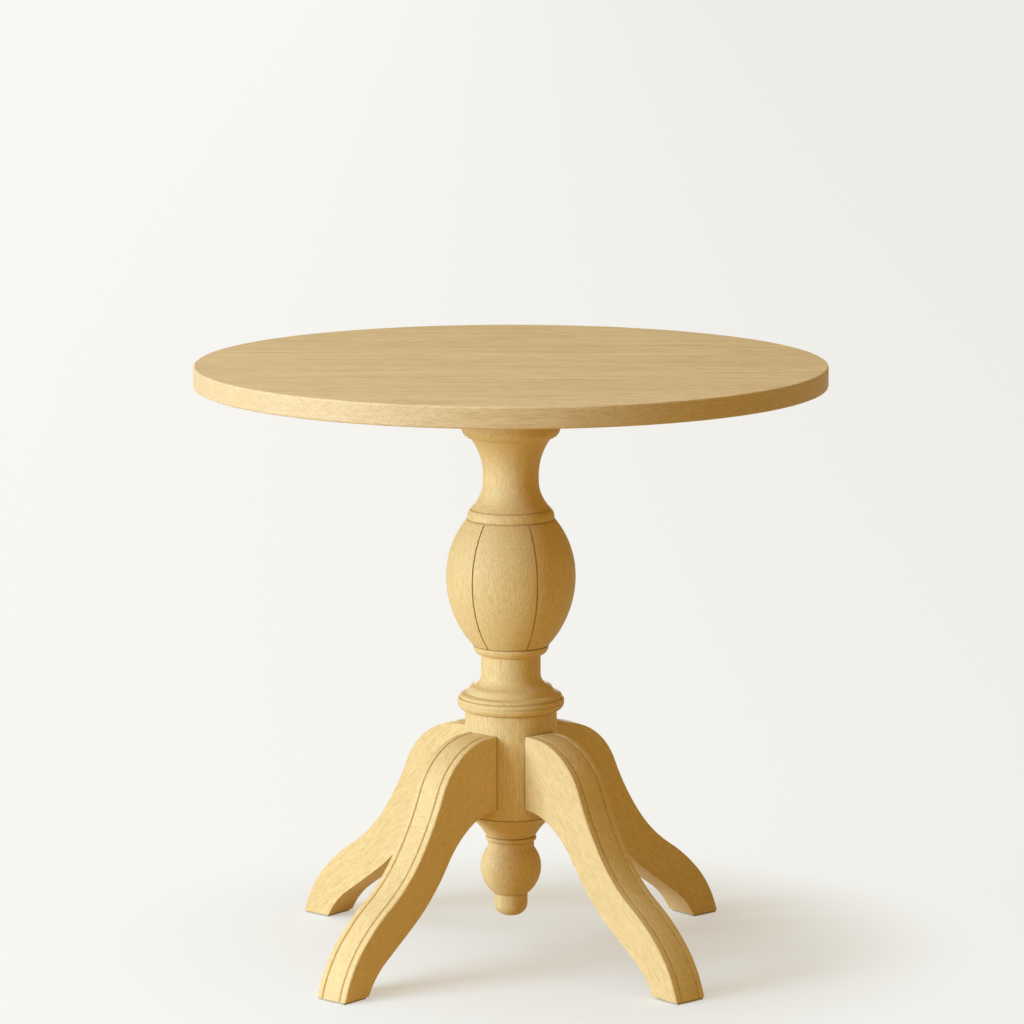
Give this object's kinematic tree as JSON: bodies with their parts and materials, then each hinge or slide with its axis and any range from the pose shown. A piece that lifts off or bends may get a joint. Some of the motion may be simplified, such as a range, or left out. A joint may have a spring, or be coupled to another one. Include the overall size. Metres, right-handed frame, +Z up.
{
  "type": "wine table",
  "caption": "Small round wooden table on a turned pedestal with a carved bulb, splayed S-shaped legs and a drop finial, for drinks or a lamp.",
  "frame": {"origin": "on the floor, under the column's axis", "axes": "+Z up, front towards -Y, the boards' grain along X"},
  "size_m": [0.6, 0.6, 0.571],
  "materials": {
    "top_wood": "bare, sanded",
    "turned_wood": "bare, sanded",
    "leg_wood": "bare, sanded",
    "inner_wood": "bare, sanded",
    "steel": "bright zinc",
    "felt": "pressed felt"
  },
  "bodies": {
    "root": {"top_board_front_edge": "top_wood", "top_board_front_middle": "top_wood", "top_board_back_middle": "top_wood", "top_board_back_edge": "top_wood", "top_tongue_front": "inner_wood", "top_tongue_centre": "inner_wood", "top_tongue_back": "inner_wood", "bearer": "inner_wood", "bearer_screws": "steel", "bearer_washers": "steel", "column": "turned_wood", "tenon_wedge": "inner_wood", "finial": "turned_wood", "finial_dowel_screw": "steel", "leg_front_left": "leg_wood", "leg_front_right": "leg_wood", "leg_back_left": "leg_wood", "leg_back_right": "leg_wood", "pad_front_left": "felt", "pad_front_right": "felt", "pad_back_left": "felt", "pad_back_right": "felt"}
  },
  "joints": []
}
